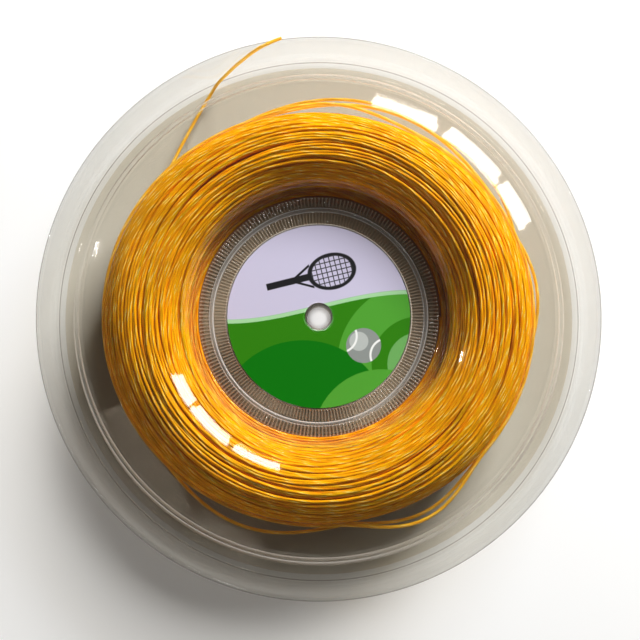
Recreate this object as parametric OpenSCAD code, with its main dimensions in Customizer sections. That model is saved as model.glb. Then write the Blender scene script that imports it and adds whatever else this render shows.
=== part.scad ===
// String reel: a clear moulded dish and lid around a winding of racket string.
// Units mm, +Z up along the reel's axis, dish floor on the ground at z = 0.

/* [Dish] */
// outside diameter of the dish wall
reel_d = 210; // [160:1:260]
// height of the dish rim above the ground
rim_h = 27.5; // [18:0.5:40]
// wall thickness of both mouldings
wall = 1.6; // [1:0.1:2.5]
// outer radius of the dish's bottom corner
corner_r = 3.2; // [2:0.1:6]
// spindle bore
bore_d = 9.2; // [6:0.1:14]

/* [Lid] */
// height of the dome's crest
crest_z = 35.6; // [28:0.1:48]
// radius of the crest circle
crest_r = 67; // [60:0.5:75]
// width of the flat land on the crest
land_w = 2; // [1:0.1:6]
// top face of the hub floor
hub_z = 18.6; // [10:0.1:28]
// section radius of the dome just inside the crest
dome_in_r = 20; // [15:0.5:40]
// slope where the crest's curve meets the funnel
dome_in_a = 24; // [15:0.5:30]
// section radius of the funnel between crest and hub wall
funnel_r = 56; // [40:1:90]
// slope at the funnel's foot
funnel_a = 28.5; // [25:0.5:40]
// section radius where the funnel turns down into the hub wall
lip_r = 12.4; // [8:0.1:16]
// slope of the hub wall
wall_a = 76; // [60:1:85]
// rounding at the foot of the hub wall
fillet_r = 1.4; // [0.5:0.1:3]
// section radius of the dome outside the crest
dome_out_r = 67.2; // [40:0.2:90]
// slope where the outer dome meets the shoulder
dome_out_a = 15; // [8:0.5:25]
// shoulder rounding
shoulder_r = 7; // [4:0.1:12]
// slope of the skirt
skirt_a = 75; // [60:1:85]
// top of the edge band where the skirt ends
foot_z = 5.5; // [4:0.1:10]
// rounding between skirt and edge band
foot_r = 1.2; // [0.5:0.1:3]
// width of the edge band
band_w = 2.4; // [1.5:0.1:5]
// slope of the edge band
band_a = 15; // [5:1:30]

/* [Hub] */
// outer radius of the drum the string is wound on
drum_r = 45.5; // [40:0.1:50]
// wall of the tube round the spindle
tube_wall = 1.8; // [1.2:0.1:3]
// radius of the raised disc that takes the label
disc_r = 35.2; // [30:0.1:38]
// height of the raised disc
disc_h = 0.4; // [0.2:0.1:1]
// radius of the bead between the two rings of ribs
bead_r = 41.2; // [38:0.1:44]
// section radius of the bead
bead_s = 0.9; // [0.5:0.1:1.5]
// radial ribs on the hub floor
ribs = 200; // [60:1:240]
// width of a rib
rib_w = 0.6; // [0.4:0.05:1.2]
// height of a rib above the hub floor
rib_h = 0.35; // [0.2:0.05:0.6]
// height of the dish's locating rings
ring_h = 3; // [1.5:0.1:6]
// running clearance between drum and locating ring
fit_gap = 0.1; // [0.05:0.01:0.4]

/* [Label] */
// label diameter
label_d = 69.4; // [60:0.1:72]
// centre hole of the label
label_hole_d = 10.4; // [9:0.1:16]
// label thickness
label_t = 0.3; // [0.1:0.05:0.6]

/* [String] */
// string diameter
string_d = 1.25; // [1.0:0.01:1.5]
// radius of the winding's middle
wind_r = 63.9; // [60:0.1:70]
// height of the winding's middle
wind_z = 17.4; // [14:0.1:22]
// half width of the winding's outer layer
wind_a = 14.9; // [12:0.1:18]
// half height of the winding's outer layer
wind_b = 14.3; // [10:0.1:16]
// how far the winding's outer edge swells and shrinks twice round the reel
oval = 1.6; // [0:0.1:3]
// direction of the wider ends
oval_at = -5; // [-90:1:90]
// distance from the outer layer's middle line to the packed core
stand_off = 1.5; // [0.8:0.1:3]
// modelled loops in the outer layer
turns = 20; // [10:1:20]
// modelled loose loops
loose = 3; // [2:1:4]

/* [Hidden] */
$fn = 180;
reel_r = reel_d / 2;
bore_r = bore_d / 2;
tube_r = bore_r + tube_wall;
string_r = string_d / 2;
bead_z = hub_z - 0.4;
bead_a = asin(0.4 / bead_s);
rings_per_loop = 24;
sides = 6;
in_c = [crest_r - land_w / 2, crest_z - dome_in_r];
out_c = [crest_r + land_w / 2, crest_z - dome_out_r];
funnel_c = in_c + (dome_in_r - funnel_r) * [cos(90 + dome_in_a), sin(90 + dome_in_a)];
lip_c = funnel_c + (funnel_r - lip_r) * [cos(90 + funnel_a), sin(90 + funnel_a)];
lip_foot = lip_c + lip_r * [cos(90 + wall_a), sin(90 + wall_a)];
fillet_top_z = hub_z + fillet_r * (1 - cos(wall_a));
fillet_top_r = lip_foot[0] - (lip_foot[1] - fillet_top_z) / tan(wall_a);
floor_edge_r = fillet_top_r - fillet_r * sin(wall_a);
floor_c = [floor_edge_r, hub_z + fillet_r];
sh_c = out_c + (dome_out_r - shoulder_r) * [cos(90 - dome_out_a), sin(90 - dome_out_a)];
sh_foot = sh_c + shoulder_r * [cos(90 - skirt_a), sin(90 - skirt_a)];
skirt_foot = [sh_foot[0] + (sh_foot[1] - foot_z) / tan(skirt_a), foot_z];
foot_c = skirt_foot + foot_r * [sin(skirt_a), cos(skirt_a)];
band_0 = foot_c + foot_r * [cos(270 - band_a), sin(270 - band_a)];
band_1 = band_0 + band_w * [cos(band_a), -sin(band_a)];
// the free end's route from the last loose turn, under the lid's edge, up the wall and over the rim
tail_route = [
  [-64.4, 47.2, 9.6],
  [-61.1, 53.8, 8.6],
  [-57.8, 60.7, 7.4],
  [-54.6, 67.8, 6.1],
  [-51.2, 74.9, 4.8],
  [-48.1, 81.1, 3.7],
  [-45.5, 85.9, 3.1],
  [-43.1, 90.0, 2.9],
  [-40.8, 93.2, 4.2],
  [-38.0, 95.2, 6.9],
  [-34.8, 96.6, 11.4],
  [-31.8, 97.6, 16.0],
  [-28.7, 98.5, 20.3],
  [-25.7, 99.4, 24.2],
  [-22.6, 100.4, 27.2],
  [-20.0, 101.3, 28.5],
  [-17.0, 102.6, 28.8],
  [-14.0, 103.9, 28.4]
];

function arc(c, r, a0, a1, n) =
  [for (i = [0:n]) let (a = a0 + (a1 - a0) * i / n) [c[0] + r * cos(a), c[1] + r * sin(a)]];

// the lid's face from the hub floor to the edge band, moved in by o
function face(o) = concat(
  arc(floor_c, fillet_r + o, 270, 270 + wall_a, 4),
  arc(lip_c, lip_r - o, 90 + wall_a, 90 + funnel_a, 6),
  arc(funnel_c, funnel_r - o, 90 + funnel_a, 90 + dome_in_a, 2),
  arc(in_c, dome_in_r - o, 90 + dome_in_a, 90, 5),
  arc(out_c, dome_out_r - o, 90, 90 - dome_out_a, 5),
  arc(sh_c, shoulder_r - o, 90 - dome_out_a, 90 - skirt_a, 5),
  arc(foot_c, foot_r + o, 270 - skirt_a, 270 - band_a, 3)
);

function reversed(p) = [for (i = [len(p) - 1:-1:0]) p[i]];

function unit(v) = v / norm(v);

// one ring of a tube round point i of route p
function ring(p, i, r, s) =
  let (t = unit(p[min(i + 1, len(p) - 1)] - p[max(i - 1, 0)]),
       n = unit(cross([0, 0, 1], t)),
       b = cross(t, n))
  [for (k = [0:s - 1]) p[i] + r * (cos(360 * k / s) * n + sin(360 * k / s) * b)];

// a round tube along route p with flat ends
module tube_along(p, r, s) {
  n = len(p);
  points = [for (i = [0:n - 1]) each ring(p, i, r, s)];
  side_faces = [for (i = [0:n - 2]) for (k = [0:s - 1])
    let (a = i * s + k, b = i * s + (k + 1) % s, c = b + s, d = a + s)
    each [[a, c, b], [a, d, c]]];
  start_cap = [for (k = [1:s - 2]) [0, k, k + 1]];
  end_cap = [for (k = [1:s - 2]) [(n - 1) * s, (n - 1) * s + k + 1, (n - 1) * s + k]];
  polyhedron(points = points, faces = concat(side_faces, start_cap, end_cap), convexity = 10);
}

// a route with one straight string diameter added before its start
function with_straight_start(p) = concat([p[0] + string_d * unit(p[0] - p[1])], p);
// the same at both ends
function with_straight_ends(p) = concat(
  with_straight_start(p),
  [p[len(p) - 1] + string_d * unit(p[len(p) - 1] - p[len(p) - 2])]
);

// angle round the winding's section at ring i of the outer layer
function wind_at(i) = 155 - 310 * i / (turns * rings_per_loop);
// middle line of the outer layer at azimuth az and section angle psi
function wound(az, psi) =
  let (swell = oval * cos(2 * (az - oval_at)) * max(0, cos(psi)),
       r = wind_r + (wind_a + swell) * cos(psi))
  [r * cos(az), r * sin(az), wind_z + wind_b * sin(psi)];
turns_route = [for (i = [0:turns * rings_per_loop])
  let (az = -360 * i / rings_per_loop - 30)
  wound(az, wind_at(i) + 2.2 * sin(az * 0.37 + 40))];

// bulges of the loose turns: unwound azimuth of the middle, half width in degrees, height
bulges = [
  [1167, 26, 2.8],
  [1018, 24, 6.6],
  [790, 42, 4.3],
  [658, 24, 4.6],
  [610, 34, 5.6],
  [436, 52, 7.4],
  [405, 36, 6.6],
  [368, 28, 4.4]
];
function bulge(az) = max([for (b = bulges)
  let (x = min(1, abs(az - b[0]) / b[1]))
  b[2] * (0.5 + 0.5 * cos(180 * x))]);

// the loose turns lie just off the winding, bulge away from it in places and run into the free end
loose_start = 149 + 360 * loose;
tail_dir = unit(tail_route[1] - tail_route[0]);
loose_route = concat(
  [for (i = [0:loose * rings_per_loop])
    let (u = i / (loose * rings_per_loop),
         az = loose_start - 15 * i,
         rise = 6.4 - 14.2 * u,
         edge = wound(az, asin(rise / wind_b)),
         out = norm([edge[0], edge[1]]) + 1.9 + bulge(az))
    [out * cos(az), out * sin(az), wind_z + rise]],
  [tail_route[0] - 2.5 * tail_dir, tail_route[0]]
);

function least_gap(p) = min([for (i = [0:len(p) - 1]) for (j = [i + 20:min(len(p) - 1, i + 28)])
  norm(p[j] - p[i])]) - string_d;
echo(turns_gap = least_gap(turns_route), loose_gap = least_gap(loose_route));
echo(between = min([for (a = turns_route) for (b = loose_route) norm(a - b)]) - string_d);
echo(to_tail = min([for (a = loose_route) for (i = [1:len(tail_route) - 1]) norm(a - tail_route[i])]) - string_d);
function run(p, i) = i == 0 ? 0 : norm(p[i] - p[i - 1]) + run(p, i - 1);
echo(tail_length = run(tail_route, len(tail_route) - 1));
echo(loose_length = run(loose_route, len(loose_route) - 1));

module dish() {
  inner_c = [reel_r - corner_r, corner_r];
  ring_top = wall + ring_h;
  drum_ring_r = drum_r - wall - fit_gap;
  tube_ring_r = tube_r + fit_gap;
  color([0.93, 0.94, 0.95, 0.3])
  rotate_extrude()
  polygon(concat(
    [[bore_r, 0]],
    arc(inner_c, corner_r, 270, 360, 6),
    arc([reel_r - wall / 2, rim_h - wall / 2], wall / 2, 0, 180, 6),
    arc(inner_c, corner_r - wall, 360, 270, 6),
    // rings that locate the lid's drum and tube
    [
      [drum_ring_r, wall],
      [drum_ring_r, ring_top],
      [drum_ring_r - wall, ring_top],
      [drum_ring_r - wall, wall],
      [tube_ring_r + wall, wall],
      [tube_ring_r + wall, ring_top],
      [tube_ring_r, ring_top],
      [tube_ring_r, wall],
      [bore_r, wall]
    ]
  ));
}

// two rings of radial ribs either side of the bead, sunk into the hub floor
module hub_ribs() {
  sunk = wall / 4;
  color([0.93, 0.94, 0.95, 0.3])
  for (i = [0:ribs - 1])
    rotate(360 * i / ribs)
    for (span = [[disc_r + 0.8, bead_r - 1.2], [bead_r + 1.2, floor_edge_r]])
      translate([span[0], -rib_w / 2, hub_z - sunk])
      cube([span[1] - span[0], rib_w, sunk + rib_h]);
}

module lid() {
  hub_ribs();
  lid_moulding();
}

module lid_moulding() {
  edge_c = band_1 - wall / 2 * [sin(band_a), cos(band_a)];
  color([0.93, 0.94, 0.95, 0.3])
  rotate_extrude()
  polygon(concat(
    // raised disc for the label, then the bead between the rings of ribs
    [
      [bore_r, hub_z + disc_h],
      [disc_r, hub_z + disc_h],
      [disc_r + 0.3, hub_z]
    ],
    arc([bead_r, bead_z], bead_s, 180 - bead_a, bead_a, 6),
    face(0),
    arc(edge_c, wall / 2, 90 - band_a, -90 - band_a, 6),
    reversed(face(wall)),
    // drum and spindle tube stand on the dish floor
    [
      [drum_r, hub_z - wall],
      [drum_r, wall],
      [drum_r - wall, wall],
      [drum_r - wall, hub_z - wall],
      [tube_r, hub_z - wall],
      [tube_r, wall],
      [bore_r, wall]
    ]
  ));
}

module label() {
  color([0.86, 0.88, 0.92])
  translate([0, 0, hub_z + disc_h])
  linear_extrude(label_t)
  difference() {
    circle(d = label_d);
    circle(d = label_hole_d);
  }
}

// packed turns under the outer layer, filled out to the drum
module string_core() {
  a = wind_a - stand_off - oval / 2;
  b = wind_b - stand_off;
  mid_r = wind_r - oval / 2;
  color([0.55, 0.3, 0.02])
  rotate_extrude()
  union() {
    polygon([for (k = [0:47]) [mid_r + a * cos(7.5 * k), wind_z + b * sin(7.5 * k)]]);
    polygon([
      [drum_r, wind_z - 12.5],
      [wind_r, wind_z - b + 0.4],
      [wind_r, wind_z],
      [drum_r, wind_z - 2.6]
    ]);
  }
}

module string_turns() {
  color([0.98, 0.69, 0.05])
  tube_along(with_straight_ends(turns_route), string_r, sides);
}

module loose_turns() {
  color([0.98, 0.69, 0.05])
  tube_along(with_straight_start(loose_route), string_r, sides);
}

module string_tail() {
  color([0.98, 0.69, 0.05])
  tube_along(tail_route, string_r, 8);
}

dish();
lid();
label();
string_core();
string_turns();
loose_turns();
string_tail();
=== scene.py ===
import math
import bmesh
import bpy
import numpy as np
from mathutils import Matrix, Vector


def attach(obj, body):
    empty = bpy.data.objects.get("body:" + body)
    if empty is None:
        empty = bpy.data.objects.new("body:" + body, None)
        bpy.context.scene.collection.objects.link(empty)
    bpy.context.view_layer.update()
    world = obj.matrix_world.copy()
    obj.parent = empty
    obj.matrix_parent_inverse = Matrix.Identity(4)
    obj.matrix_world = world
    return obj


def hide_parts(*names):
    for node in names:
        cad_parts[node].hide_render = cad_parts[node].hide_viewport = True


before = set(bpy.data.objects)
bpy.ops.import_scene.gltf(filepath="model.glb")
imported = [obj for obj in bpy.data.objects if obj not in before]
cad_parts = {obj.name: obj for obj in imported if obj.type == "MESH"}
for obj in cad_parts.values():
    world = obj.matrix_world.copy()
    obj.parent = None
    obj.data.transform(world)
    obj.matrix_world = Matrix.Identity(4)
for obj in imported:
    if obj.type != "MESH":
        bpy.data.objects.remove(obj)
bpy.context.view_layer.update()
mm = 0.001
print("frame loaded:", sorted(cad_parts))

# the camera stands above the reel, a little towards the bottom of the label; lengths in mm
shot = {"at": (0.7, -17.5, 383.5), "aim": (0.5, -1.7, 27.5), "lens": 54.1, "sensor": 36.0, "near": 10.0}


def placeCamera():
    data = bpy.data.cameras.new("camera")
    data.lens = shot["lens"]
    data.sensor_width = shot["sensor"]
    data.clip_start = shot["near"] * mm
    at = Vector(shot["at"]) * mm
    forward = (Vector(shot["aim"]) * mm - at).normalized()
    right = forward.cross(Vector((0, 1, 0))).normalized()
    up = right.cross(forward)
    turn = Matrix((right, up, -forward)).transposed().to_4x4()
    cam = bpy.data.objects.new("camera", data)
    cam.matrix_world = Matrix.Translation(at) @ turn
    bpy.context.collection.objects.link(cam)
    bpy.context.scene.camera = cam
    # plain colour transform, so the saturated yellow of the string is not washed out
    bpy.context.scene.view_settings.view_transform = "Standard"


placeCamera()
print("camera placed")

# free end of the string: leaves the winding, dips under the lid's edge, climbs the wall and lies on the rim
tail = {
    "diameter": 1.25, "sides": 12, "stepsBetween": 5,
    "route": [
        (-64.4, 47.2, 9.6), (-61.1, 53.8, 8.6), (-57.8, 60.7, 7.4), (-54.6, 67.8, 6.1),
        (-51.2, 74.9, 4.8), (-48.1, 81.1, 3.7), (-45.5, 85.9, 3.1), (-43.1, 90.0, 2.9),
        (-40.8, 93.2, 4.2), (-38.0, 95.2, 6.9), (-34.8, 96.6, 11.4), (-31.8, 97.6, 16.0),
        (-28.7, 98.5, 20.3), (-25.7, 99.4, 24.2), (-22.6, 100.4, 27.2), (-20.0, 101.3, 28.5),
        (-17.0, 102.6, 28.8), (-14.0, 103.9, 28.4),
    ],
}


def hexColour(text):
    # sRGB hex to linear
    out = []
    for k in (0, 2, 4):
        c = int(text[k:k + 2], 16) / 255
        out.append(c / 12.92 if c <= 0.04045 else ((c + 0.055) / 1.055) ** 2.4)
    return (*out, 1.0)


def addNode(tree, kind, inputs=None, **settings):
    # an input is a value, a socket, or a node, which is linked from its first output in use
    node = tree.nodes.new(kind)
    for name, value in settings.items():
        setattr(node, name, value)
    for key, value in (inputs or {}).items():
        if isinstance(value, bpy.types.Node):
            value = next(out for out in value.outputs if out.enabled)
        if isinstance(value, bpy.types.NodeSocket):
            tree.links.new(value, node.inputs[key])
        else:
            node.inputs[key].default_value = value
    return node


def newMaterial(name):
    mat = bpy.data.materials.new(name)
    mat.use_nodes = True
    mat.node_tree.nodes.clear()
    return mat, mat.node_tree


polystyrene = {
    # the plastic's own index is 1.59; this lower one and the limit are matched to how clear the lid looks
    "ior": 1.42, "mirrorMost": 0.09, "polish": 0.04,
    # waves left by the flow of the melt: spacing in mm, strength, depth in mm
    "flow": 16.667, "ripple": 0.02, "rippleDepth": 0.6,
    # the edge colour is painted shade for the dark lines on the dish's rim and inner corner
    "edge": "A8A49E", "amberBounceBetweenRibs": "EBDCC4", "haze": "F2EFE9", "ribHazeAmberBounce": "EED9BE", "shadow": "F8F7F5",
    # share of haze over the ribs, on their tops, along moulded lines and in walls seen edge on
    "ribHaze": 0.12, "topHaze": 0.33, "lineHaze": 0.8, "wallHaze": 0.5,
    # how steeply a face is seen, 0 to 1, where the milk begins and is full, and the same for the walls
    "milkFrom": 0.45, "milkTo": 0.95, "wallFrom": 0.86, "wallTo": 0.98,
    # the skirt and the outer wall stand outside this radius, mm
    "wallsOutside": 60.0,
}


def clearPolystyrene(name, tint, milkMost):
    # crystal polystyrene, injection moulded in a polished tool: water-clear with a slight milky haze,
    # the fine ribs of the hub left matt by the spark-eroded part of the tool
    p = polystyrene
    mat, tree = newMaterial(name)
    spot = addNode(tree, "ShaderNodeTexCoord").outputs["Object"]
    flow = addNode(tree, "ShaderNodeTexNoise", {"Vector": spot, "Scale": 1 / (p["flow"] * mm), "Detail": 2.0})
    ripple = addNode(tree, "ShaderNodeBump", {
        "Height": flow, "Strength": p["ripple"], "Distance": p["rippleDepth"] * mm})
    # painted shade: along the dish's rim and inner corner the plastic is tinted the darker edge colour,
    # standing in for the light these rounded edges bend away
    edge = addNode(tree, "ShaderNodeAttribute", attribute_name="paintedEdgeShade").outputs["Fac"]
    plain = addNode(tree, "ShaderNodeMix", {
        0: edge, 6: hexColour(tint), 7: hexColour(p["edge"])}, data_type="RGBA")
    # painted light: between the ribs the plastic is tinted amber, standing in for the string's light bounced
    # into the drum behind
    ribbed = addNode(tree, "ShaderNodeAttribute", attribute_name="ribMask").outputs["Fac"]
    seen = addNode(tree, "ShaderNodeMix", {
        0: ribbed, 6: plain, 7: hexColour(p["amberBounceBetweenRibs"])}, data_type="RGBA")
    through = addNode(tree, "ShaderNodeBsdfTransparent", {"Color": seen})
    # a polished face mirrors the room, but not in light that already left a matt surface
    mirror = addNode(tree, "ShaderNodeBsdfGlossy", {
        "Color": (1, 1, 1, 1), "Roughness": p["polish"], "Normal": ripple})
    fresnel = addNode(tree, "ShaderNodeFresnel", {"IOR": p["ior"], "Normal": ripple})
    path = addNode(tree, "ShaderNodeLightPath")
    direct = addNode(tree, "ShaderNodeMath", {
        0: 1.0, 1: path.outputs["Is Diffuse Ray"]}, operation="SUBTRACT")
    capped = addNode(tree, "ShaderNodeMath", {0: fresnel, 1: p["mirrorMost"]}, operation="MINIMUM")
    gloss = addNode(tree, "ShaderNodeMath", {0: capped, 1: direct}, operation="MULTIPLY")
    sheet = addNode(tree, "ShaderNodeMixShader", {0: gloss, 1: through, 2: mirror})
    # haze in the plastic, lit from either side
    # painted light: over the ribs the haze is tinted warm, standing in for the string's amber bounce
    dust = addNode(tree, "ShaderNodeMix", {
        0: ribbed, 6: hexColour(p["haze"]), 7: hexColour(p["ribHazeAmberBounce"])}, data_type="RGBA")
    front = addNode(tree, "ShaderNodeBsdfDiffuse", {"Color": dust})
    back = addNode(tree, "ShaderNodeBsdfTranslucent", {"Color": dust})
    haze = addNode(tree, "ShaderNodeMixShader", {0: 0.5, 1: front, 2: back})
    # there is more of it where a face is seen steeply, and most in the skirt and the outer wall edge on
    steep = addNode(tree, "ShaderNodeLayerWeight", {"Blend": 0.5}).outputs["Facing"]
    milk = addNode(tree, "ShaderNodeMapRange", {
        "Value": steep, "From Min": p["milkFrom"], "From Max": p["milkTo"], "To Max": milkMost})
    wall = addNode(tree, "ShaderNodeMapRange", {
        "Value": steep, "From Min": p["wallFrom"], "From Max": p["wallTo"], "To Max": p["wallHaze"]})
    flat = addNode(tree, "ShaderNodeVectorMath", {0: spot, 1: (1.0, 1.0, 0.0)}, operation="MULTIPLY")
    radius = addNode(tree, "ShaderNodeVectorMath", {0: flat}, operation="LENGTH")
    outside = addNode(tree, "ShaderNodeMath", {
        0: radius, 1: p["wallsOutside"] * mm}, operation="GREATER_THAN")
    share = addNode(tree, "ShaderNodeMath", {0: wall, 1: outside, 2: milk}, operation="MULTIPLY_ADD")
    # the matt ribs and the rounded feet of bead and label seat catch the light
    for attribute, amount in (("ribMask", "ribHaze"), ("ribTop", "topHaze"), ("beadLine", "lineHaze")):
        mask = addNode(tree, "ShaderNodeAttribute", attribute_name=attribute).outputs["Fac"]
        share = addNode(tree, "ShaderNodeMath", {0: mask, 1: p[amount], 2: share}, operation="MULTIPLY_ADD")
    skin = addNode(tree, "ShaderNodeMixShader", {0: share, 1: sheet, 2: haze})
    # light passes to what lies under the plastic almost undimmed
    clear = addNode(tree, "ShaderNodeBsdfTransparent", {"Color": hexColour(p["shadow"])})
    mix = addNode(tree, "ShaderNodeMixShader", {0: path.outputs["Is Shadow Ray"], 1: skin, 2: clear})
    addNode(tree, "ShaderNodeOutputMaterial", {"Surface": mix})
    return mat


nylon = {
    "roughness": 0.25, "ior": 1.5, "specular": 0.12,
    # lay of the plies in mm, depth of their groove in mm and its strength, how far red, green and blue
    # light spreads in mm and the share of it that does
    "pitch": 11.4, "grooveDepth": 0.1, "groove": 0.3, "spread": (0.6, 0.45, 0.2), "spreadShare": 0.5,
    # across a ply from -1 in the groove to 1 on top: where the painted groove shade ends and the painted pale
    # glint begins
    "grooveShadeFrom": -1.0, "grooveShadeTo": -0.3, "glintFrom": 0.8, "glintTo": 0.98,
    # how far up a face must look to take the painted glint
    "glintFacingFrom": 0.76, "glintFacingTo": 0.96,
    # spacing in mm of the breaks in the painted pale glints, and of the slow change of tone with its two ends
    "breaks": 1.111, "breakFrom": 0.35, "breakTo": 0.6, "leastGlint": 0.4,
    "tones": 11.111, "toneFrom": 0.3, "toneTo": 0.7, "toneLow": 0.82, "toneHigh": 1.08,
    # a free strand's shadow: its colour and how much light gets through
    "through": "FFEA98", "throughShare": 0.65,
}


def twistedNylon(name, amber, pale, grooveShade, clear=0.0):
    # multifilament nylon in two plies laid round a core and dipped clear: a painted pale glint slants along
    # the top of each ply, and painted shade darkens the groove between plies;
    # clear is how much light a strand lying free lets through
    n = nylon
    mat, tree = newMaterial(name)
    strand = addNode(tree, "ShaderNodeAttribute", attribute_name="strand")
    c, s, along = addNode(tree, "ShaderNodeSeparateXYZ", {0: strand.outputs["Vector"]}).outputs
    # twice round the strand, as there are two plies, less the turn of the lay
    angle = addNode(tree, "ShaderNodeMath", {0: s, 1: c}, operation="ARCTAN2")
    twice = addNode(tree, "ShaderNodeMath", {0: angle, 1: 2.0}, operation="MULTIPLY")
    lay = addNode(tree, "ShaderNodeMath", {
        0: along, 1: 2 * math.pi / (n["pitch"] * mm)}, operation="MULTIPLY")
    laid = addNode(tree, "ShaderNodeMath", {0: twice, 1: lay}, operation="SUBTRACT")
    wave = addNode(tree, "ShaderNodeMath", {0: laid}, operation="COSINE")
    top = addNode(tree, "ShaderNodeMapRange", {
        "Value": wave, "From Min": n["glintFrom"], "From Max": n["glintTo"]}, interpolation_type="SMOOTHSTEP")
    high = addNode(tree, "ShaderNodeMapRange", {
        "Value": wave, "From Min": n["grooveShadeFrom"], "From Max": n["grooveShadeTo"]}, interpolation_type="SMOOTHSTEP")
    # painted highlight: only the top of each ply, facing up where the light falls, is coloured pale, with
    # breaks
    facing = addNode(tree, "ShaderNodeSeparateXYZ", {
        0: addNode(tree, "ShaderNodeNewGeometry").outputs["Normal"]})
    glintFacing = addNode(tree, "ShaderNodeMapRange", {
        "Value": facing.outputs[2], "From Min": n["glintFacingFrom"], "From Max": n["glintFacingTo"]},
        interpolation_type="SMOOTHSTEP")
    spot = addNode(tree, "ShaderNodeTexCoord").outputs["Object"]
    fine = addNode(tree, "ShaderNodeTexNoise", {
        "Vector": spot, "Scale": 1 / (n["breaks"] * mm), "Detail": 2.0})
    whole = addNode(tree, "ShaderNodeMapRange", {
        "Value": fine, "From Min": n["breakFrom"], "From Max": n["breakTo"], "To Min": n["leastGlint"]})
    glint = addNode(tree, "ShaderNodeMath", {0: top, 1: whole}, operation="MULTIPLY")
    glint = addNode(tree, "ShaderNodeMath", {0: glint, 1: glintFacing}, operation="MULTIPLY")
    # painted shade: the groove between the plies takes the darker shade colour
    ply = addNode(tree, "ShaderNodeMix", {0: high, 6: hexColour(grooveShade), 7: hexColour(amber)}, data_type="RGBA")
    body = addNode(tree, "ShaderNodeMix", {0: glint, 6: ply, 7: hexColour(pale)}, data_type="RGBA")
    broad = addNode(tree, "ShaderNodeTexNoise", {
        "Vector": spot, "Scale": 1 / (n["tones"] * mm), "Detail": 3.0})
    tone = addNode(tree, "ShaderNodeMapRange", {
        "Value": broad, "From Min": n["toneFrom"], "From Max": n["toneTo"],
        "To Min": n["toneLow"], "To Max": n["toneHigh"]})
    toned = addNode(tree, "ShaderNodeHueSaturation", {"Color": body, "Value": tone})
    bump = addNode(tree, "ShaderNodeBump", {
        "Height": wave, "Strength": n["groove"], "Distance": n["grooveDepth"] * mm})
    skin = addNode(tree, "ShaderNodeBsdfPrincipled", {
        "Base Color": toned, "Roughness": n["roughness"], "IOR": n["ior"],
        "Specular IOR Level": n["specular"], "Subsurface Weight": n["spreadShare"],
        "Subsurface Radius": [far * mm for far in n["spread"]], "Subsurface Scale": 1.0, "Normal": bump})
    if clear > 0:
        glow = addNode(tree, "ShaderNodeBsdfTranslucent", {"Color": hexColour(pale)})
        skin = addNode(tree, "ShaderNodeMixShader", {0: clear, 1: skin, 2: glow})
        through = addNode(tree, "ShaderNodeBsdfTransparent", {"Color": hexColour(n["through"])})
        path = addNode(tree, "ShaderNodeLightPath")
        shadow = addNode(tree, "ShaderNodeMath", {
            0: path.outputs["Is Shadow Ray"], 1: n["throughShare"]}, operation="MULTIPLY")
        skin = addNode(tree, "ShaderNodeMixShader", {0: shadow, 1: skin, 2: through})
    addNode(tree, "ShaderNodeOutputMaterial", {"Surface": skin})
    return mat


# spacing of the mottle in mm, and the radii between which the painted brown shade by the drum goes over into
# amber turns
packed = {"dark": "B04C00", "light": "DC7800", "drumShade": "6E4420", "mottle": 2.5, "brownTo": 46.2,
          "amberFrom": 47.5, "roughness": 0.55}


def packedString():
    # the same nylon below the top layers, coloured a darker amber as painted shade, as it is only seen in the
    # gaps
    p = packed
    mat, tree = newMaterial("packedString")
    spot = addNode(tree, "ShaderNodeTexCoord").outputs["Object"]
    noise = addNode(tree, "ShaderNodeTexNoise", {
        "Vector": spot, "Scale": 1 / (p["mottle"] * mm), "Detail": 3.0})
    amber = addNode(tree, "ShaderNodeMix", {
        0: noise, 6: hexColour(p["dark"]), 7: hexColour(p["light"])}, data_type="RGBA")
    # painted shade: the first turns, against the drum, are coloured dark brown
    flat = addNode(tree, "ShaderNodeVectorMath", {0: spot, 1: (1.0, 1.0, 0.0)}, operation="MULTIPLY")
    radius = addNode(tree, "ShaderNodeVectorMath", {0: flat}, operation="LENGTH")
    free = addNode(tree, "ShaderNodeMapRange", {
        "Value": radius, "From Min": p["brownTo"] * mm, "From Max": p["amberFrom"] * mm})
    colour = addNode(tree, "ShaderNodeMix", {0: free, 6: hexColour(p["drumShade"]), 7: amber}, data_type="RGBA")
    skin = addNode(tree, "ShaderNodeBsdfPrincipled", {"Base Color": colour, "Roughness": p["roughness"]})
    addNode(tree, "ShaderNodeOutputMaterial", {"Surface": skin})
    return mat


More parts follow.
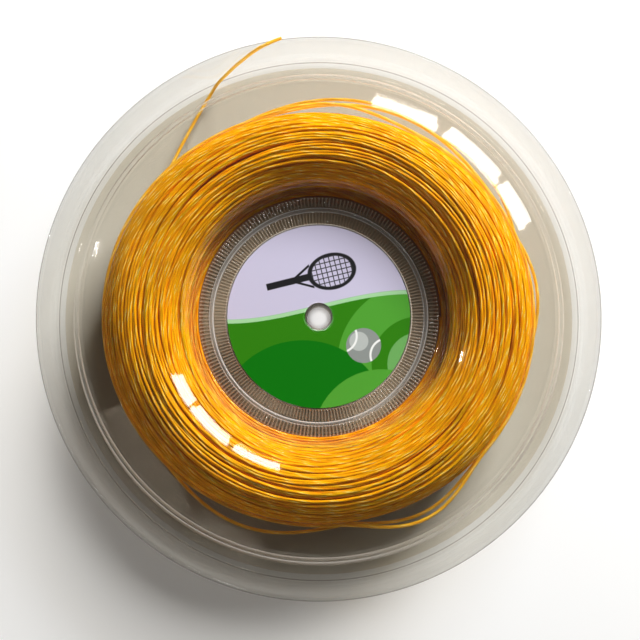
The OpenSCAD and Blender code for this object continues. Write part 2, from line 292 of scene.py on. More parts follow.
# the print on the label, in mm from its middle
labelPrint = {
    "sky": "CAC5DC", "grass": "2D7E02", "ink": "1C1C1E", "soft": 0.12,
    # the top of the grass: a slow wave that climbs from low to high between two places, and its pale line
    "wave": {"left": -34.0, "right": 34.0, "low": -1.2, "high": 10.0, "line": 1.5, "pale": "A5D6A0"},
    # hills, back to front: colour, middle, inner and outer radius
    "hills": [("4FA030", (38.0, -18.0), 18.0, 31.0), ("6CAB5C", (38.0, -18.0), 0.0, 12.0),
              ("007200", (-6.0, -42.0), 0.0, 33.0), ("4FA030", (24.0, -46.0), 0.0, 26.0)],
    # a racket that leans by so many degrees: half length and half width of its head, how far in the frame
    # and how far out the mesh reaches as shares of them, half spacing and half thickness of the mesh,
    # soft edges, then the grip and the fork of its throat
    "racket": {"at": (5.0, 17.2), "lean": 14, "head": (9.4, 7.0), "frame": 0.82, "meshTo": 0.84,
               "frameSoft": 0.02, "mesh": 0.95, "meshLine": 0.2, "meshSoft": 0.1,
               "grip": (-25.5, -9.0), "gripHalf": 1.3,
               "fork": (-14.5, -7.9), "forkSlope": 0.54, "forkLine": (8.0, 9.0)},
    # a ball with a lit side and two seams
    "ball": {"at": (17.0, -11.0), "radius": 6.6, "felt": "8E9490", "litAt": (15.2, -9.4), "litRadius": 3.6,
             "lit": "B9BFBA", "seams": [(8.2, -7.4), (25.8, -14.6)], "seamFrom": 5.8, "seamTo": 6.6,
             "seam": "F2F4F0"},
    # paper fibres, drawn coarse enough to show: spacing, strength and depth
    "fibre": 0.6667, "tooth": 0.08, "toothDepth": 0.05,
    # the paper's roughness, the share of varnish and its own roughness
    "roughness": 0.32, "varnish": 0.35, "varnishRoughness": 0.1,
}


def printedLabel():
    # coated label paper, offset printed in greens, grey and black under a gloss varnish
    art = labelPrint
    mat, tree = newMaterial("printedLabel")
    spot = addNode(tree, "ShaderNodeTexCoord").outputs["Object"]
    # places on the paper in mm, seen from above
    place = addNode(tree, "ShaderNodeMapping", {"Vector": spot, "Scale": (1 / mm, 1 / mm, 0.0)})
    x, y, _ = addNode(tree, "ShaderNodeSeparateXYZ", {0: place}).outputs

    def above(value, edge, soft=art["soft"]):
        # 1 where value is over edge, with a printed edge's slight softness
        return addNode(tree, "ShaderNodeMapRange", {
            "Value": value, "From Min": edge - soft, "From Max": edge + soft})

    def below(value, edge, soft=art["soft"]):
        return addNode(tree, "ShaderNodeMapRange", {
            "Value": value, "From Min": edge - soft, "From Max": edge + soft, "To Min": 1.0, "To Max": 0.0})

    def within(value, low, high):
        return addNode(tree, "ShaderNodeMath", {
            0: above(value, low), 1: below(value, high)}, operation="MULTIPLY")

    def ring(at, inner, outer):
        away = addNode(tree, "ShaderNodeVectorMath", {0: place, 1: (*at, 0.0)}, operation="DISTANCE")
        return within(away, inner, outer)

    def over(under, colour, *masks):
        # prints colour where all the masks are 1
        mask = 1.0
        for more in masks:
            mask = addNode(tree, "ShaderNodeMath", {0: more, 1: mask}, operation="MULTIPLY")
        return addNode(tree, "ShaderNodeMix", {0: mask, 6: under, 7: hexColour(colour)}, data_type="RGBA")

    wave = art["wave"]
    rise = addNode(tree, "ShaderNodeMapRange", {
        "Value": x, "From Min": wave["left"], "From Max": wave["right"],
        "To Min": wave["low"], "To Max": wave["high"]}, interpolation_type="SMOOTHSTEP")
    height = addNode(tree, "ShaderNodeMath", {0: y, 1: rise}, operation="SUBTRACT")
    ground = below(height, 0.0)
    colour = over(hexColour(art["sky"]), art["grass"], ground)
    for green, at, inner, outer in art["hills"]:
        colour = over(colour, green, ground, ring(at, inner, outer))
    colour = over(colour, wave["pale"], within(height, -wave["line"], 0.0))

    # u runs along the racket, v across it
    r, ink = art["racket"], art["ink"]
    turned = addNode(tree, "ShaderNodeMapping", {
        "Vector": place, "Location": (*r["at"], 0.0), "Rotation": (0.0, 0.0, math.radians(r["lean"]))},
        vector_type="TEXTURE")
    u, v, _ = addNode(tree, "ShaderNodeSeparateXYZ", {0: turned}).outputs
    share = addNode(tree, "ShaderNodeVectorMath", {0: turned, 1: (*r["head"], 1.0)}, operation="DIVIDE")
    oval = addNode(tree, "ShaderNodeVectorMath", {0: share}, operation="LENGTH")
    colour = over(colour, ink, above(oval, r["frame"], r["frameSoft"]), below(oval, 1.0, r["frameSoft"]))
    lines = []
    for way in (u, v):
        zigzag = addNode(tree, "ShaderNodeMath", {0: way, 1: r["mesh"]}, operation="PINGPONG")
        lines.append(below(zigzag, r["meshLine"], r["meshSoft"]))
    mesh = addNode(tree, "ShaderNodeMath", {0: lines[0], 1: lines[1]}, operation="MAXIMUM")
    colour = over(colour, ink, mesh, below(oval, r["meshTo"], r["frameSoft"]))
    colour = over(colour, ink, within(u, *r["grip"]), within(v, -r["gripHalf"], r["gripHalf"]))
    beside = addNode(tree, "ShaderNodeMath", {0: v}, operation="ABSOLUTE")
    throat = addNode(tree, "ShaderNodeMath", {0: u, 1: -r["forkSlope"], 2: beside}, operation="MULTIPLY_ADD")
    colour = over(colour, ink, within(u, *r["fork"]), within(throat, *r["forkLine"]))

    b = art["ball"]
    disc = ring(b["at"], 0.0, b["radius"])
    colour = over(colour, b["felt"], disc)
    colour = over(colour, b["lit"], disc, ring(b["litAt"], 0.0, b["litRadius"]))
    for at in b["seams"]:
        colour = over(colour, b["seam"], disc, ring(at, b["seamFrom"], b["seamTo"]))

    fibre = addNode(tree, "ShaderNodeTexNoise", {
        "Vector": spot, "Scale": 1 / (art["fibre"] * mm), "Detail": 2.0})
    bump = addNode(tree, "ShaderNodeBump", {
        "Height": fibre, "Strength": art["tooth"], "Distance": art["toothDepth"] * mm})
    skin = addNode(tree, "ShaderNodeBsdfPrincipled", {
        "Base Color": colour, "Roughness": art["roughness"], "Coat Weight": art["varnish"],
        "Coat Roughness": art["varnishRoughness"], "Normal": bump})
    addNode(tree, "ShaderNodeOutputMaterial", {"Surface": skin})
    return mat


# tint and most haze; then the string's amber, the colour of its painted glint and of its painted groove shade
plasticMat = clearPolystyrene("clearPolystyrene", "FAF7F1", 0.05)
dishMat = clearPolystyrene("clearPolystyreneDish", "F0F0EE", 0.12)
stringMat = twistedNylon("twistedNylon", "F6AE00", "FFE680", "E69C00")
# painted shade: the layers under the top one get a slightly darker copy of the same nylon, for the gaps they
# are seen through
underMat = twistedNylon("twistedNylonUnderShaded", "F4A200", "FFDA58", "DE8600")
# painted light: strands lying free get a lighter, yellower copy of the same nylon, standing in for the light
# they catch from all sides
freeMat = twistedNylon("twistedNylonFreeLit", "F6CE28", "FFF0B0", "E8AC18", 0.35)
packedMat = packedString()
labelMat = printedLabel()
print("materials made")

# length in mm of the short faces that end a flat wall, and the angle past which an edge stays sharp
turning = {"endRun": 0.2, "sharpFrom": 38}


def arc(c, r, a0, a1, n):
    # n steps round c from angle a0 to a1 in degrees
    return [(c[0] + r * math.cos(math.radians(a0 + (a1 - a0) * i / n)),
             c[1] + r * math.sin(math.radians(a0 + (a1 - a0) * i / n))) for i in range(n + 1)]


def held(outline):
    # extra points just inside both ends of each long straight run, so flat walls shade flat
    near = turning["endRun"]
    out = []
    for (r0, z0), (r1, z1) in zip(outline, outline[1:] + outline[:1]):
        out.append((r0, z0))
        run = math.hypot(r1 - r0, z1 - z0)
        if run > 5 * near:
            out.append((r0 + (r1 - r0) * near / run, z0 + (z1 - z0) * near / run))
            out.append((r1 - (r1 - r0) * near / run, z1 - (z1 - z0) * near / run))
    return out


def lathe(name, profile, segments, fine=(), fineTimes=1):
    # turns a closed (radius, height) outline in mm round Z; outline points in fine get more steps round
    verts, rows = [], []
    for k, (r, z) in enumerate(profile):
        count = segments * (fineTimes if k in fine else 1)
        rows.append((len(verts), count))
        for j in range(count):
            t = 2 * math.pi * j / count
            verts.append((r * math.cos(t) * mm, r * math.sin(t) * mm, z * mm))
    faces = []
    for k in range(len(profile)):
        (a0, na), (b0, nb) = rows[k], rows[(k + 1) % len(profile)]
        if na == nb:
            for j in range(na):
                j2 = (j + 1) % na
                faces.append((a0 + j, a0 + j2, b0 + j2, b0 + j))
        else:
            for j in range(segments):
                j2 = (j + 1) % segments
                wide = [(j * fineTimes + m) % (segments * fineTimes) for m in range(fineTimes + 1)]
                if na > nb:
                    faces.append([a0 + m for m in wide] + [b0 + j2, b0 + j])
                else:
                    faces.append([a0 + j, a0 + j2] + [b0 + m for m in reversed(wide)])
    mesh = bpy.data.meshes.new(name)
    mesh.from_pydata(verts, [], faces)
    work = bmesh.new()
    work.from_mesh(mesh)
    bmesh.ops.recalc_face_normals(work, faces=work.faces)
    work.to_mesh(mesh)
    work.free()
    mesh.shade_smooth()
    mesh.set_sharp_from_angle(angle=math.radians(turning["sharpFrom"]))
    obj = bpy.data.objects.new(name, mesh)
    bpy.context.collection.objects.link(obj)
    return obj, rows


def markRows(obj, attribute, rows, values):
    # gives every vertex of an outline point's row that point's value
    marks = np.zeros(len(obj.data.vertices), dtype=np.float32)
    for (start, count), value in zip(rows, values):
        marks[start:start + count] = value
    obj.data.attributes.new(attribute, "FLOAT", "POINT").data.foreach_set("value", marks)


def finishPiece(obj, mat, slot, *nodes):
    obj.data.materials.clear()
    obj.data.materials.append(mat)
    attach(obj, "root")
    if nodes:
        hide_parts(*nodes)


# lengths in mm and angles in degrees; a name that ends in A is how far a face has turned from level
lidSizes = {
    "wall": 1.6, "bore": 4.6, "tubeWall": 1.8, "drum": 45.5, "floorZ": 1.6,
    # hub floor with the disc for the label and a bead between two rings of ribs
    "hubZ": 18.6, "discR": 35.2, "discH": 0.4, "discSlope": 0.3, "beadR": 40.8, "bead": 0.8, "beadSunk": 0.4,
    # a rib's rounded top begins where the wave of ribs passes ribFrom; the ribs fade out at a ring's edges
    "ribs": 200, "ribHeight": 0.42, "ribFrom": -0.1, "ribFade": 0.35,
    "ribRings": [(35.3, 39.9), (41.55, 45.7)],
    # outline points at a ring's inner edge, at the inner ring's outer edge and at the outer ring's
    "ringStart": (-0.1, 0.12, 0.35), "ringEnd": (-0.35, -0.12, 0.1), "lastRingEnd": (-0.55, -0.25, -0.04),
    # hub wall, funnel and dome, from the inside outwards
    "fillet": 1.4, "wallA": 76.0, "lip": 12.4, "funnel": 56.0, "funnelA": 28.5,
    "domeIn": 20.0, "domeInA": 24.0, "crestZ": 35.6, "crestR": 67.0, "landW": 2.0,
    "domeOut": 67.2, "domeOutA": 15.0, "shoulder": 7.0,
    # skirt, its foot and the edge band
    "skirtA": 75.0, "footZ": 5.5, "foot": 1.2, "bandW": 2.4, "bandA": 15.0,
    # steps round, and how many times more on the hub floor between these margins round the rings
    "segments": 240, "fineTimes": 5, "fineIn": 0.15, "fineOut": 0.3, "fineUp": 0.6,
    # thin bright lines: how near a point must be, the bead's feet as a share of its radius, and how bright
    "lineNear": 0.2, "beadFoot": 0.75, "footLine": 1.0, "seatLine": 0.6, "betweenLine": 0.3,
}


def lidProfile(s):
    rad = math.radians

    def polar(c, r, a):
        return (c[0] + r * math.cos(rad(a)), c[1] + r * math.sin(rad(a)))

    # each arc's centre follows from the one it runs into without a corner
    inC = (s["crestR"] - s["landW"] / 2, s["crestZ"] - s["domeIn"])
    outC = (s["crestR"] + s["landW"] / 2, s["crestZ"] - s["domeOut"])
    funnelC = polar(inC, s["domeIn"] - s["funnel"], 90 + s["domeInA"])
    lipC = polar(funnelC, s["funnel"] - s["lip"], 90 + s["funnelA"])
    lipFoot = polar(lipC, s["lip"], 90 + s["wallA"])
    filletZ = s["hubZ"] + s["fillet"] * (1 - math.cos(rad(s["wallA"])))
    filletR = lipFoot[0] - (lipFoot[1] - filletZ) / math.tan(rad(s["wallA"]))
    floorC = (filletR - s["fillet"] * math.sin(rad(s["wallA"])), s["hubZ"] + s["fillet"])
    shoulderC = polar(outC, s["domeOut"] - s["shoulder"], 90 - s["domeOutA"])
    shoulderFoot = polar(shoulderC, s["shoulder"], 90 - s["skirtA"])
    skirtFoot = (shoulderFoot[0] + (shoulderFoot[1] - s["footZ"]) / math.tan(rad(s["skirtA"])), s["footZ"])
    footC = (skirtFoot[0] + s["foot"] * math.sin(rad(s["skirtA"])),
             skirtFoot[1] + s["foot"] * math.cos(rad(s["skirtA"])))
    band0 = polar(footC, s["foot"], 270 - s["bandA"])
    band1 = (band0[0] + s["bandW"] * math.cos(rad(s["bandA"])),
             band0[1] - s["bandW"] * math.sin(rad(s["bandA"])))

    def face(o):
        # hub floor edge, hub wall, funnel, dome, shoulder, skirt and edge band, moved in by o
        return (arc(floorC, s["fillet"] + o, 270, 270 + s["wallA"], 6)
                + arc(lipC, s["lip"] - o, 90 + s["wallA"], 90 + s["funnelA"], 12)
                + arc(funnelC, s["funnel"] - o, 90 + s["funnelA"], 90 + s["domeInA"], 2)[1:]
                + arc(inC, s["domeIn"] - o, 90 + s["domeInA"], 90, 8)[1:]
                + arc(outC, s["domeOut"] - o, 90, 90 - s["domeOutA"], 6)
                + arc(shoulderC, s["shoulder"] - o, 90 - s["domeOutA"], 90 - s["skirtA"], 9)[1:]
                + arc(footC, s["foot"] + o, 270 - s["skirtA"], 270 - s["bandA"], 4))

    beadA = math.degrees(math.asin(s["beadSunk"] / s["bead"]))
    beadC = (s["beadR"], s["hubZ"] - s["beadSunk"])
    (a0, a1), (b0, b1) = s["ribRings"]
    hub = [(s["bore"], s["hubZ"] + s["discH"]), (s["discR"], s["hubZ"] + s["discH"]),
           (s["discR"] + s["discSlope"], s["hubZ"])]
    hub += [(a0 + d, s["hubZ"]) for d in s["ringStart"]] + [(a1 + d, s["hubZ"]) for d in s["ringEnd"]]
    hub += arc(beadC, s["bead"], 180 - beadA, beadA, 8)
    hub += [(b0 + d, s["hubZ"]) for d in s["ringStart"]] + [(b1 + d, s["hubZ"]) for d in s["lastRingEnd"]]
    edgeC = (band1[0] - s["wall"] / 2 * math.sin(rad(s["bandA"])),
             band1[1] - s["wall"] / 2 * math.cos(rad(s["bandA"])))
    tube = s["bore"] + s["tubeWall"]
    low = s["hubZ"] - s["wall"]
    outline = hub + face(0)
    outline += arc(edgeC, s["wall"] / 2, 90 - s["bandA"], -90 - s["bandA"], 8)
    outline += list(reversed(face(s["wall"])))
    outline += [(s["drum"], low), (s["drum"], s["floorZ"]),
                (s["drum"] - s["wall"], s["floorZ"]), (s["drum"] - s["wall"], low),
                (tube, low), (tube, s["floorZ"]), (s["bore"], s["floorZ"])]
    outline = held(outline)
    fine = [k for k, (r, z) in enumerate(outline)
            if a0 - s["fineIn"] < r < b1 + s["fineOut"] and -0.01 < z - s["hubZ"] < s["fineUp"]]
    return outline, fine


def newGeometryTree(name, inputs):
    # inputs beside the geometry: name and kind of socket
    tree = bpy.data.node_groups.new(name, "GeometryNodeTree")
    for key, kind in {"Geometry": "Geometry", **inputs, "Material": "Material"}.items():
        tree.interface.new_socket(key, in_out="INPUT", socket_type="NodeSocket" + kind)
    tree.interface.new_socket("Geometry", in_out="OUTPUT", socket_type="NodeSocketGeometry")
    return tree, addNode(tree, "NodeGroupInput").outputs


def endGeometryTree(tree, geometry, given):
    real = addNode(tree, "GeometryNodeRealizeInstances", {"Geometry": geometry})
    dress = addNode(tree, "GeometryNodeSetMaterial", {"Geometry": real, "Material": given["Material"]})
    addNode(tree, "NodeGroupOutput", {"Geometry": dress})
    return tree


def ribTree():
    # raises fine radial ribs along the normal where the ribMask attribute is 1
    tree, given = newGeometryTree("hubRibs", {"Rib Count": "Float", "Rib Height": "Float"})
    place = addNode(tree, "ShaderNodeSeparateXYZ", {0: addNode(tree, "GeometryNodeInputPosition")})
    angle = addNode(tree, "ShaderNodeMath", {0: place.outputs[1], 1: place.outputs[0]}, operation="ARCTAN2")
    turns = addNode(tree, "ShaderNodeMath", {0: angle, 1: given["Rib Count"]}, operation="MULTIPLY")
    wave = addNode(tree, "ShaderNodeMath", {0: turns}, operation="COSINE")
    pulse = addNode(tree, "ShaderNodeMapRange", {
        "Value": wave, "From Min": lidSizes["ribFrom"], "From Max": 1.0}, interpolation_type="SMOOTHSTEP")
    mask = addNode(tree, "GeometryNodeInputNamedAttribute", {"Name": "ribMask"}, data_type="FLOAT")
    top = addNode(tree, "ShaderNodeMath", {0: pulse, 1: mask}, operation="MULTIPLY")
    lift = addNode(tree, "ShaderNodeMath", {0: top, 1: given["Rib Height"]}, operation="MULTIPLY")
    push = addNode(tree, "ShaderNodeVectorMath", {
        0: addNode(tree, "GeometryNodeInputNormal"), "Scale": lift}, operation="SCALE")
    marked = addNode(tree, "GeometryNodeStoreNamedAttribute", {
        "Geometry": given["Geometry"], "Name": "ribTop", "Value": top}, data_type="FLOAT", domain="POINT")
    moved = addNode(tree, "GeometryNodeSetPosition", {"Geometry": marked, "Offset": push})
    return endGeometryTree(tree, moved, given)


def throughNodes(obj, tree, **values):
    # runs a Geometry Nodes tree on obj and returns the result as a plain mesh object
    mod = obj.modifiers.new("nodes", "NODES")
    mod.node_group = tree
    for item in tree.interface.items_tree:
        if item.item_type == "SOCKET" and item.in_out == "INPUT" and item.name in values:
            mod[item.identifier] = values[item.name]
    deps = bpy.context.evaluated_depsgraph_get()
    deps.update()
    mesh = bpy.data.meshes.new_from_object(obj.evaluated_get(deps))
    name = obj.name
    bpy.data.objects.remove(obj)
    out = bpy.data.objects.new(name, mesh)
    mesh.name = name
    bpy.context.collection.objects.link(out)
    return out


def makeLid():
    s = lidSizes
    outline, fine = lidProfile(s)
    lid, rows = lathe("clearLid", outline, s["segments"], set(fine), s["fineTimes"])
    ribs, lines = [], []
    for k, (r, z) in enumerate(outline):
        fades = [min(1.0, (r - low) / s["ribFade"], (high - r) / s["ribFade"]) for low, high in s["ribRings"]]
        ribs.append(max(0.0, *fades) if k in fine else 0.0)
        foot = abs(abs(r - s["beadR"]) - s["bead"] * s["beadFoot"]) < s["lineNear"]
        seat = abs(r - s["discR"] - s["discSlope"] / 2) < s["lineNear"]
        between = s["ribRings"][0][1] < r < s["ribRings"][1][0]
        bright = s["footLine"] if foot else s["seatLine"] if seat else s["betweenLine"] if between else 0.0
        lines.append(bright if z >= s["hubZ"] else 0.0)
    markRows(lid, "beadLine", rows, lines)
    markRows(lid, "ribMask", rows, ribs)
    lid = throughNodes(lid, ribTree(), **{
        "Rib Count": float(s["ribs"]), "Rib Height": s["ribHeight"] * mm, "Material": plasticMat})
    # the lid's own faint shadow would only hide the string under it
    lid.visible_shadow = False
    finishPiece(lid, plasticMat, "clear_plastic", "lid")


dishSizes = {
    "outer": 105.0, "rim": 27.5, "wall": 1.6, "corner": 3.2, "bore": 4.6,
    # the two locating rings stand in the lid's drum and round its tube, with a gap
    "drum": 45.5, "tubeWall": 1.8, "gap": 0.1, "ring": 3.0,
    # the painted dark line of shade at the inner corner, from and to this far inside the wall
    "lineFrom": 0.7, "lineTo": 0.3, "segments": 480,
}


def makeDish():
    s = dishSizes
    c = (s["outer"] - s["corner"], s["corner"])
    ringTop = s["wall"] + s["ring"]
    drumRing = s["drum"] - s["wall"] - s["gap"]
    tubeRing = s["bore"] + s["tubeWall"] + s["gap"]
    outline = [(s["bore"], 0.0)]
    outline += arc(c, s["corner"], 270, 360, 10)
    outline += arc((s["outer"] - s["wall"] / 2, s["rim"] - s["wall"] / 2), s["wall"] / 2, 0, 180, 10)
    outline += arc(c, s["corner"] - s["wall"], 360, 270, 8)
    outline += [(drumRing, s["wall"]), (drumRing, ringTop), (drumRing - s["wall"], ringTop),
                (drumRing - s["wall"], s["wall"]), (tubeRing + s["wall"], s["wall"]),
                (tubeRing + s["wall"], ringTop), (tubeRing, ringTop), (tubeRing, s["wall"]),
                (s["bore"], s["wall"])]
    outline = held(outline)
    dish, rows = lathe("clearDish", outline, s["segments"])
    inside = s["outer"] - s["wall"]
    # painted shade: the rows along the rim's outer top and at the inner corner are marked for the darker edge
    # tint
    lines = []
    for r, z in outline:
        rim = z > s["rim"] - s["wall"] / 2 and r > s["outer"] - s["wall"] / 4
        corner = s["lineTo"] < inside - r < s["lineFrom"] and s["wall"] < z < s["corner"]
        lines.append(1.0 if rim or corner else 0.0)
    markRows(dish, "paintedEdgeShade", rows, lines)
    finishPiece(dish, dishMat, "clear_plastic", "dish")


makeLid()
makeDish()
print("lid and dish made")

# a paper disc whose die-cut edges are softened by cut; lengths in mm
labelSizes = {"outer": 34.7, "hole": 5.2, "low": 19.0, "high": 19.3, "cut": 0.06, "segments": 240}


def makeLabel():
    s = labelSizes
    outline = [(s["hole"], s["low"]), (s["outer"], s["low"]), (s["outer"], s["high"] - s["cut"]),
               (s["outer"] - s["cut"], s["high"]), (s["hole"] + s["cut"], s["high"]),
               (s["hole"], s["high"] - s["cut"])]
    label, _ = lathe("hubLabel", outline, s["segments"])
    finishPiece(label, labelMat, "label_paper", "label")


makeLabel()
print("label made")


def strandTree():
    # a round strand along a curve; the strand attribute holds (cos, sin) round it and the length along it
    tree, given = newGeometryTree("strand", {"Diameter": "Float", "Sides": "Int"})
    spline = addNode(tree, "GeometryNodeSplineParameter").outputs
    path = addNode(tree, "GeometryNodeStoreNamedAttribute", {
        "Geometry": given["Geometry"], "Name": "along", "Value": spline["Length"]},
        data_type="FLOAT", domain="POINT")
    radius = addNode(tree, "ShaderNodeMath", {0: given["Diameter"], 1: 2.0}, operation="DIVIDE")
    circle = addNode(tree, "GeometryNodeCurvePrimitiveCircle", {
        "Resolution": given["Sides"], "Radius": radius})
    turn = addNode(tree, "ShaderNodeMath", {0: spline["Factor"], 1: 2 * math.pi}, operation="MULTIPLY")
    section = addNode(tree, "GeometryNodeStoreNamedAttribute", {
        "Geometry": circle, "Name": "turn", "Value": turn}, data_type="FLOAT", domain="POINT")
    sweep = addNode(tree, "GeometryNodeCurveToMesh", {
        "Curve": path, "Profile Curve": section, "Fill Caps": True})
    length = addNode(tree, "GeometryNodeInputNamedAttribute", {"Name": "along"}, data_type="FLOAT")
    angle = addNode(tree, "GeometryNodeInputNamedAttribute", {"Name": "turn"}, data_type="FLOAT")
    both = addNode(tree, "ShaderNodeCombineXYZ", {
        0: addNode(tree, "ShaderNodeMath", {0: angle}, operation="COSINE"),
        1: addNode(tree, "ShaderNodeMath", {0: angle}, operation="SINE"), 2: length})
    strand = addNode(tree, "GeometryNodeStoreNamedAttribute", {
        "Geometry": sweep, "Name": "strand", "Value": both}, data_type="FLOAT_VECTOR", domain="POINT")
    smooth = addNode(tree, "GeometryNodeSetShadeSmooth", {"Geometry": strand})
    return endGeometryTree(tree, smooth, given)


strandGroup = strandTree()


def strandAlong(name, points, mat, diameter=1.25, sides=6):
    data = bpy.data.curves.new(name, "CURVE")
    data.dimensions = "3D"
    data.twist_mode = "Z_UP"
    spline = data.splines.new("POLY")
    spline.points.add(len(points) - 1)
    flat = np.ones((len(points), 4), dtype=np.float32)
    flat[:, :3] = np.asarray(points) * mm
    spline.points.foreach_set("co", flat.ravel())
    obj = bpy.data.objects.new(name, data)
    bpy.context.collection.objects.link(obj)
    return throughNodes(obj, strandGroup, Diameter=diameter * mm, Sides=sides, Material=mat)


windingSizes = {
    # middle, half width and half height of the winding's round section, mm, and points in each turn
    "middleR": 63.9, "middleZ": 17.4, "halfWidth": 14.9, "halfHeight": 14.3, "perTurn": 96,
    # the winding is wider by oval along the direction ovalAt, in degrees, and narrower across it
    "oval": 1.6, "ovalAt": -5.0,
    # where the first turn starts, radians, and how far round the section a layer reaches either way, degrees
    "start": -0.5, "reach": 164,
    # number of waves in the wander, and the least and most waves in a turn: round the section, and outwards
    "wanderWaves": (7, 0.4, 3.3), "liftWaves": (7, 0.8, 5.0),
    "layers": [
        # name, turns, half width, half height, wander round the section in degrees, lift in mm, seed
        ("windingUnder", 72, 13.9, 13.3, 5.0, 0.25, 3),
        ("windingSecond", 75, 14.6, 14.0, 4.5, 0.28, 5),
        ("windingTop", 78, 15.0, 14.4, 5.0, 0.3, 8),
    ],
    # turns against the drum: first and last radius, height and slope of the corner they fill, and wander
    "inner": {"turns": 7, "from": 46.6, "to": 51.5, "height": 15.5, "slope": 0.35,
              "waves": (6, 0.5, 3.0), "sideways": 0.35, "up": 0.15, "seed": 21},
}


def drift(t, seed, count, low, high):
    # slow wander that never repeats from one turn to the next
    rng = np.random.default_rng(seed)
    total = np.zeros_like(t)
    for k in range(count):
        f = rng.uniform(low, high)
        total += np.sin(2 * math.pi * f * t + rng.uniform(0, 2 * math.pi)) * rng.uniform(0.5, 1.0)
    return total / math.sqrt(count)


def ovalSwell(az):
    return windingSizes["oval"] * np.cos(2 * (az - math.radians(windingSizes["ovalAt"])))


def windingPath(turns, halfWidth, halfHeight, wander, lift, seed):
    s = windingSizes
    t = np.arange(turns * s["perTurn"] + 1) / s["perTurn"]
    az = -2 * math.pi * t + s["start"]
    psi = np.radians(s["reach"] - 2 * s["reach"] * t / turns + wander * drift(t, seed, *s["wanderWaves"]))
    out = lift * drift(t, seed + 1, *s["liftWaves"])
    r = s["middleR"] + (halfWidth + out + ovalSwell(az) * np.clip(np.cos(psi), 0, 1)) * np.cos(psi)
    z = s["middleZ"] + (halfHeight + out) * np.sin(psi)
    return np.stack([r * np.cos(az), r * np.sin(az), z], axis=1)


def innerPath():
    # the turns that lie against the drum, filling the corner under the hub wall
    s = windingSizes["inner"]
    perTurn = windingSizes["perTurn"]
    t = np.arange(s["turns"] * perTurn + 1) / perTurn
    az = -2 * math.pi * t
    r = s["from"] + (s["to"] - s["from"]) * t / s["turns"] + s["sideways"] * drift(t, s["seed"], *s["waves"])
    z = s["height"] + s["slope"] * (r - s["from"]) + s["up"] * drift(t, s["seed"] + 1, *s["waves"])
    return np.stack([r * np.cos(az), r * np.sin(az), z], axis=1)


for name, *shape in windingSizes["layers"]:
    top = name == "windingTop"
    mat = stringMat if top else underMat
    coil = strandAlong(name, windingPath(*shape), mat)
    finishPiece(coil, mat, "string", *(["string_turns"] if top else []))
    print(name, "made,", len(coil.data.polygons), "faces")

coil = strandAlong("windingInner", innerPath(), underMat)
finishPiece(coil, underMat, "string")

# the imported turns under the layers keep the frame's own mesh
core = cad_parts["string_core"]
core.data.materials.clear()
core.data.materials.append(packedMat)
print("inner turns and packed turns made")

looseSizes = {
    # first and last direction, unwound, and the step between points, all in degrees
    "start": 1236, "end": 149, "step": 2.5,
    # how far the strand's middle lies off the winding, how deep it starts in it and over how many
    # degrees it comes out
    "off": 1.5, "sunk": 2.6, "outOver": 25,
    # height against the winding's middle at the start, and how far it comes down
    "high": 6.4, "down": 14.2,
    # bulges: direction, half width in degrees and how far they stand off the winding
    "bulges": [(1167, 26, 2.8), (1018, 24, 6.6), (790, 42, 4.3), (658, 24, 4.6), (610, 34, 5.6),
               (436, 52, 7.4), (405, 36, 6.6), (368, 28, 4.4)],
    "sides": 10,
}


def loosePath():
    # comes out from between the top turns, bulges here and there and runs into the tail
    s, w = looseSizes, windingSizes
    turned = np.arange(s["start"], s["end"], -s["step"])
    az = np.radians(turned)
    bump = np.zeros_like(az)
    for centre, half, height in s["bulges"]:
        x = np.clip((turned - centre) / half, -1, 1)
        bump = np.maximum(bump, height * (0.5 + 0.5 * np.cos(math.pi * x)))
    rise = s["high"] - s["down"] * (s["start"] - turned) / (s["start"] - s["end"])
    narrow = np.sqrt(1 - (rise / w["halfHeight"]) ** 2)
    edge = w["middleR"] + (w["halfWidth"] + ovalSwell(az) * narrow) * narrow
    sunk = s["sunk"] * np.clip((turned - s["start"] + s["outOver"]) / s["outOver"], 0, 1)
    r = edge + s["off"] + bump - sunk
    path = np.stack([r * np.cos(az), r * np.sin(az), w["middleZ"] + rise], axis=1)
    return np.concatenate([path, [tail["route"][0]]])


loose = strandAlong("looseTurns", loosePath(), freeMat, sides=looseSizes["sides"])
finishPiece(loose, freeMat, "string", "loose_turns")


def smoothRoute(points, steps):
    # Catmull-Rom through the given points
    p = [np.array(q, dtype=float) for q in points]
    p = [2 * p[0] - p[1]] + p + [2 * p[-1] - p[-2]]
    out = []
    for k in range(1, len(p) - 2):
        for j in range(steps):
            t = j / steps
            out.append(0.5 * (2 * p[k] + (p[k + 1] - p[k - 1]) * t
                              + (2 * p[k - 1] - 5 * p[k] + 4 * p[k + 1] - p[k + 2]) * t * t
                              + (3 * p[k] - p[k - 1] - 3 * p[k + 1] + p[k + 2]) * t ** 3))
    out.append(p[-2])
    return np.array(out)


tailPath = smoothRoute(tail["route"], tail["stepsBetween"])
stringTail = strandAlong("stringTail", tailPath, freeMat, tail["diameter"], tail["sides"])
finishPiece(stringTail, freeMat, "string", "string_tail")

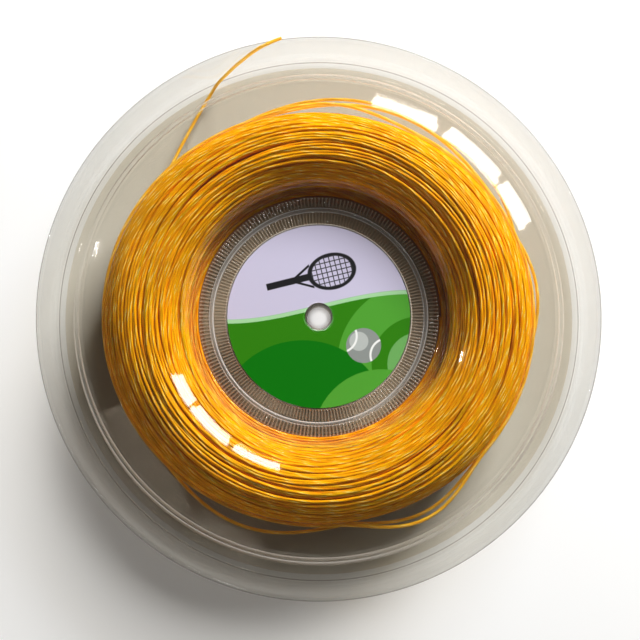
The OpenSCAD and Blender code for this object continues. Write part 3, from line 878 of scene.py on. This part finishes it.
# lengths in metres, angles in degrees, glow as radiance
studio = {
    "floor": "FDFDFC", "floorHalf": 3.0, "floorDrop": 0.0002, "floorRoughness": 0.9, "floorSpecular": 0.1,
    "room": "FBFAF8", "roomGlow": 0.09,
    # window panes that light the reel: azimuth, width in degrees, glow
    "panes": [(32.9, 12.0, 6.0), (48.8, 17.5, 7.0), (68.5, 17.0, 8.0)],
    "paneTilt": 41.0, "paneTall": 8.3, "paneAway": 1.2,
    # the same panes as polished faces mirror them, bright enough to go white; they stand a little behind,
    # as a ray that meets two lamps in one plane sees only the first
    "paneShine": 17.0, "shineBehind": 0.01,
    # lower soft box under the panes, which throws the winding's shadow into the dish
    "box": {"azimuth": 60.0, "tilt": 65.0, "away": 1.6, "wide": 0.7, "tall": 0.45, "glow": 53.0},
    # warm reflector standing low on the shaded side
    "reflector": {"azimuth": 222.0, "tilt": 85.0, "away": 1.2, "wide": 0.8, "tall": 0.16, "glow": 7.0},
    "reflectorColour": "FFE2B8",
    # small far window, seen as a short streak on the dome and another on the funnel
    "glint": {"azimuth": 160.0, "tilt": 46.0, "away": 1.2, "wide": 0.055, "tall": 0.048, "glow": 150.0},
    # narrow beam straight down the spindle bore
    "beam": {"away": 0.5, "radius": 0.0044, "bulb": 0.002, "blend": 0.3, "watts": 8.0},
}


def makeFloor():
    half = studio["floorHalf"]
    mesh = bpy.data.meshes.new("floor")
    corners = [(-half, -half, 0), (half, -half, 0), (half, half, 0), (-half, half, 0)]
    mesh.from_pydata(corners, [], [(0, 1, 2, 3)])
    floor = bpy.data.objects.new("floor", mesh)
    bpy.context.collection.objects.link(floor)
    # matt white background paper
    mat, tree = newMaterial("studioFloor")
    skin = addNode(tree, "ShaderNodeBsdfPrincipled", {
        "Base Color": hexColour(studio["floor"]), "Roughness": studio["floorRoughness"],
        "Specular IOR Level": studio["floorSpecular"]})
    addNode(tree, "ShaderNodeOutputMaterial", {"Surface": skin})
    mesh.materials.append(mat)
    floor.location.z = -studio["floorDrop"]


def areaLight(name, azimuth, tilt, away, wide, tall, glow):
    # faces the reel's middle from azimuth, tilt degrees off the vertical, with radiance glow
    a, t = math.radians(azimuth), math.radians(tilt)
    out = Vector((math.sin(t) * math.cos(a), math.sin(t) * math.sin(a), math.cos(t)))
    data = bpy.data.lights.new(name, "AREA")
    data.shape = "RECTANGLE"
    data.size, data.size_y = wide, tall
    data.energy = glow * math.pi * wide * tall
    lamp = bpy.data.objects.new(name, data)
    side = Vector((0, 0, 1)).cross(out).normalized()
    turn = Matrix((side, out.cross(side), out)).transposed().to_4x4()
    lamp.matrix_world = Matrix.Translation(out * away) @ turn
    bpy.context.collection.objects.link(lamp)
    return lamp


def makeLights():
    away, tilt = studio["paneAway"], studio["paneTilt"]
    tall = away * math.radians(studio["paneTall"])
    for k, (azimuth, degrees, glow) in enumerate(studio["panes"]):
        wide = away * math.sin(math.radians(tilt)) * math.radians(degrees)
        pane = areaLight(f"pane{k}", azimuth, tilt, away, wide, tall, glow)
        pane.visible_glossy = False
        behind = away + studio["shineBehind"]
        shine = areaLight(f"paneShine{k}", azimuth, tilt, behind, wide, tall, studio["paneShine"])
        shine.visible_diffuse = False
    # box and reflector light the string but are kept from the polished faces, so they leave no patch there
    softBox = areaLight("softBox", **studio["box"])
    softBox.visible_glossy = False
    bounce = areaLight("reflector", **studio["reflector"])
    bounce.data.color = hexColour(studio["reflectorColour"])[:3]
    bounce.visible_glossy = False
    farWindow = areaLight("glint", **studio["glint"])
    farWindow.visible_diffuse = False
    b = studio["beam"]
    data = bpy.data.lights.new("boreBeam", "SPOT")
    data.energy, data.shadow_soft_size = b["watts"], b["bulb"]
    data.spot_size, data.spot_blend = 2 * math.atan(b["radius"] / b["away"]), b["blend"]
    lamp = bpy.data.objects.new("boreBeam", data)
    lamp.location = (0, 0, b["away"])
    bpy.context.collection.objects.link(lamp)
    world = bpy.data.worlds.new("studio")
    bpy.context.scene.world = world
    world.use_nodes = True
    background = world.node_tree.nodes["Background"].inputs
    background[0].default_value = hexColour(studio["room"])
    background[1].default_value = studio["roomGlow"]


makeFloor()
makeLights()
print("floor and lights made")
